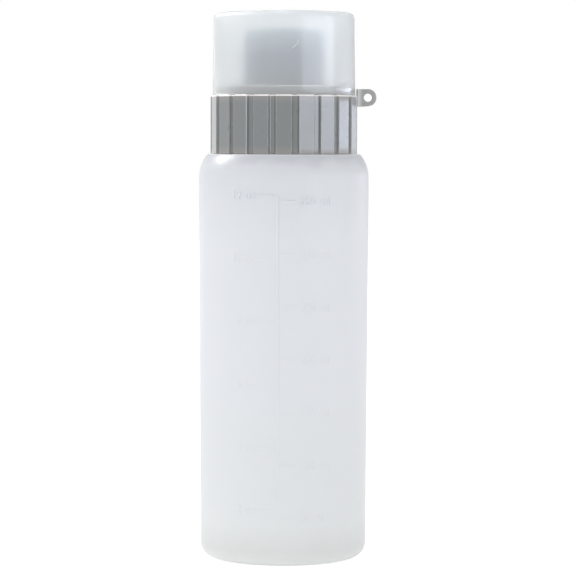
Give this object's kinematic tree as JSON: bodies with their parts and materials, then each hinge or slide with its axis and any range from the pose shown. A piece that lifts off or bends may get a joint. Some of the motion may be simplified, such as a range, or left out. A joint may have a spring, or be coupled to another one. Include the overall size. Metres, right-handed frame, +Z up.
{
  "type": "condiment squeeze bottle",
  "caption": "Translucent squeeze bottle with a ribbed grey screw collar, a wide nozzle block, a hanging eye and a clear-frosted pull-off dust cap.",
  "frame": {"origin": "on the bottle's axis, at the centre of the ring it stands on", "axes": "+Z up along the bottle's axis, from the standing ring to the dust cap; +X towards the hanging eye"},
  "size_m": [0.0637, 0.061, 0.1958],
  "materials": {
    "milky_polyethylene": "milky, translucent, soft satin",
    "grey_polypropylene": "moulded grey, fine satin",
    "frosted_polypropylene": "clear-frosted, glossy outside",
    "white_washer": "soft, matt"
  },
  "bodies": {
    "bottle": {"bottle_body": "milky_polyethylene"},
    "seal": {"sealing_washer": "white_washer"},
    "collar": {"nozzle_collar": "grey_polypropylene"},
    "cap": {"dust_cap": "frosted_polypropylene"}
  },
  "joints": [
    {"name": "collar_rise", "type": "slide", "parent": "bottle", "child": "seal", "axis": [0, 0, 1], "range_m": [0, 0.00605]},
    {"name": "collar_turn", "type": "hinge", "parent": "seal", "child": "collar", "pos_m": [0, 0, 0.155], "axis": [0, 0, 1], "range_deg": [0, 540]},
    {"name": "cap_pull", "type": "slide", "parent": "collar", "child": "cap", "axis": [0, 0, 1], "range_m": [0, 0.03]}
  ],
  "couplings": [
    {"joint": "collar_rise", "follows": "collar_turn", "m_per_rad": 0.00063662}
  ]
}
